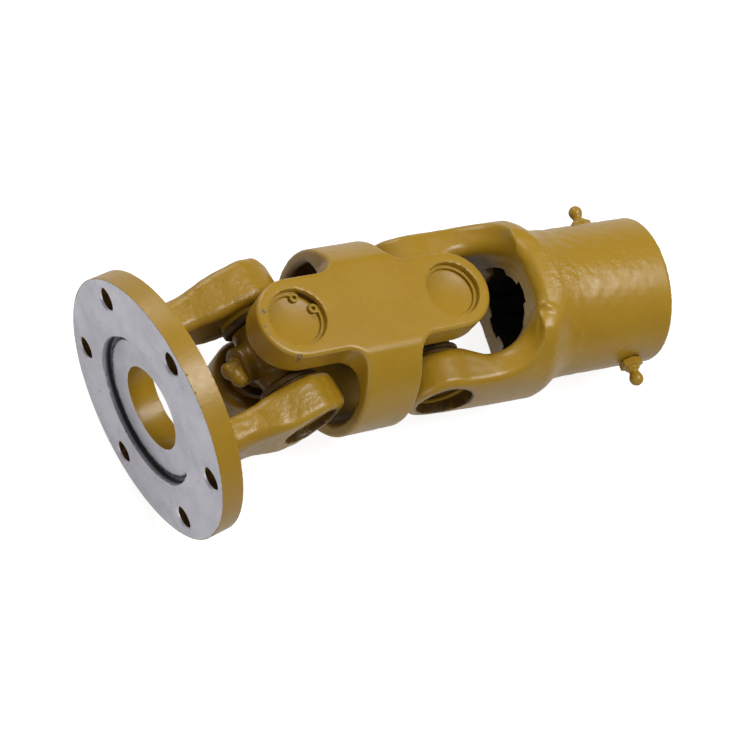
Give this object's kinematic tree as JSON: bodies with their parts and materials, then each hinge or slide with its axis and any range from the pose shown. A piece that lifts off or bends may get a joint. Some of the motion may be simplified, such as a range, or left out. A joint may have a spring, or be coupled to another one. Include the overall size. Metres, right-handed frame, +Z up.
{
  "type": "universal joint shaft",
  "caption": "Short drive shaft with a double universal joint: bolted flange yoke, double centre yoke and splined sleeve yoke on needle-bearing crosses.",
  "frame": {"origin": "centre of the bounding box's bottom face, on the surface that the shaft lies on", "axes": "+X along the shaft from the flange to the splined sleeve, +Z up as the shaft lies"},
  "size_m": [0.2242, 0.0994, 0.1002],
  "materials": {
    "ochre_paint": "semi-gloss ochre machine enamel, brushed or sprayed over the assembled joint",
    "bearing_steel": "ground bearing steel",
    "seal_rubber": "matt nitrile rubber"
  },
  "bodies": {
    "centre": {"centre_yoke": "ochre_paint", "bearing_cup_front_near": "ochre_paint", "needle_set_front_near": "bearing_steel", "thrust_washer_front_near": "bearing_steel", "seal_front_near": "seal_rubber", "snap_ring_front_near": "ochre_paint", "bearing_cup_front_far": "ochre_paint", "needle_set_front_far": "bearing_steel", "thrust_washer_front_far": "bearing_steel", "seal_front_far": "seal_rubber", "snap_ring_front_far": "ochre_paint", "bearing_cup_rear_near": "ochre_paint", "needle_set_rear_near": "bearing_steel", "thrust_washer_rear_near": "bearing_steel", "seal_rear_near": "seal_rubber", "snap_ring_rear_near": "ochre_paint", "bearing_cup_rear_far": "ochre_paint", "needle_set_rear_far": "bearing_steel", "thrust_washer_rear_far": "bearing_steel", "seal_rear_far": "seal_rubber", "snap_ring_rear_far": "ochre_paint"},
    "front_cross": {"front_cross": "ochre_paint", "front_cross_nipple": "ochre_paint"},
    "flange": {"flange_yoke": "ochre_paint", "bearing_cup_flange_top": "ochre_paint", "needle_set_flange_top": "bearing_steel", "thrust_washer_flange_top": "bearing_steel", "seal_flange_top": "seal_rubber", "snap_ring_flange_top": "ochre_paint", "bearing_cup_flange_bottom": "ochre_paint", "needle_set_flange_bottom": "bearing_steel", "thrust_washer_flange_bottom": "bearing_steel", "seal_flange_bottom": "seal_rubber", "snap_ring_flange_bottom": "ochre_paint"},
    "rear_cross": {"rear_cross": "ochre_paint", "rear_cross_nipple": "ochre_paint"},
    "sleeve": {"sleeve_yoke": "ochre_paint", "sleeve_nipple_top": "ochre_paint", "sleeve_nipple_bottom": "ochre_paint", "bearing_cup_sleeve_top": "ochre_paint", "needle_set_sleeve_top": "bearing_steel", "thrust_washer_sleeve_top": "bearing_steel", "seal_sleeve_top": "seal_rubber", "snap_ring_sleeve_top": "ochre_paint", "bearing_cup_sleeve_bottom": "ochre_paint", "needle_set_sleeve_bottom": "bearing_steel", "thrust_washer_sleeve_bottom": "bearing_steel", "seal_sleeve_bottom": "seal_rubber", "snap_ring_sleeve_bottom": "ochre_paint"}
  },
  "joints": [
    {"name": "front_cross_swing", "type": "hinge", "parent": "centre", "child": "front_cross", "pos_m": [-0.04945, 0.01002, 0.04505], "axis": [-0.1805, -0.1162, -0.9767], "range_deg": [-13.6, 36.4]},
    {"name": "flange_yoke_swing", "type": "hinge", "parent": "front_cross", "child": "flange", "pos_m": [-0.04945, 0.01002, 0.04505], "axis": [-0.2151, 0.9736, -0.0761], "range_deg": [-19.4, 30.6]},
    {"name": "rear_cross_swing", "type": "hinge", "parent": "centre", "child": "rear_cross", "pos_m": [0.01506, 0.01002, 0.03313], "axis": [-0.1805, -0.1162, -0.9767], "range_deg": [-29.5, 20.5]},
    {"name": "sleeve_yoke_swing", "type": "hinge", "parent": "rear_cross", "child": "sleeve", "pos_m": [0.01506, 0.01002, 0.03313], "axis": [0.0561, 0.9902, -0.1282], "range_deg": [-17.4, 32.6]}
  ]
}
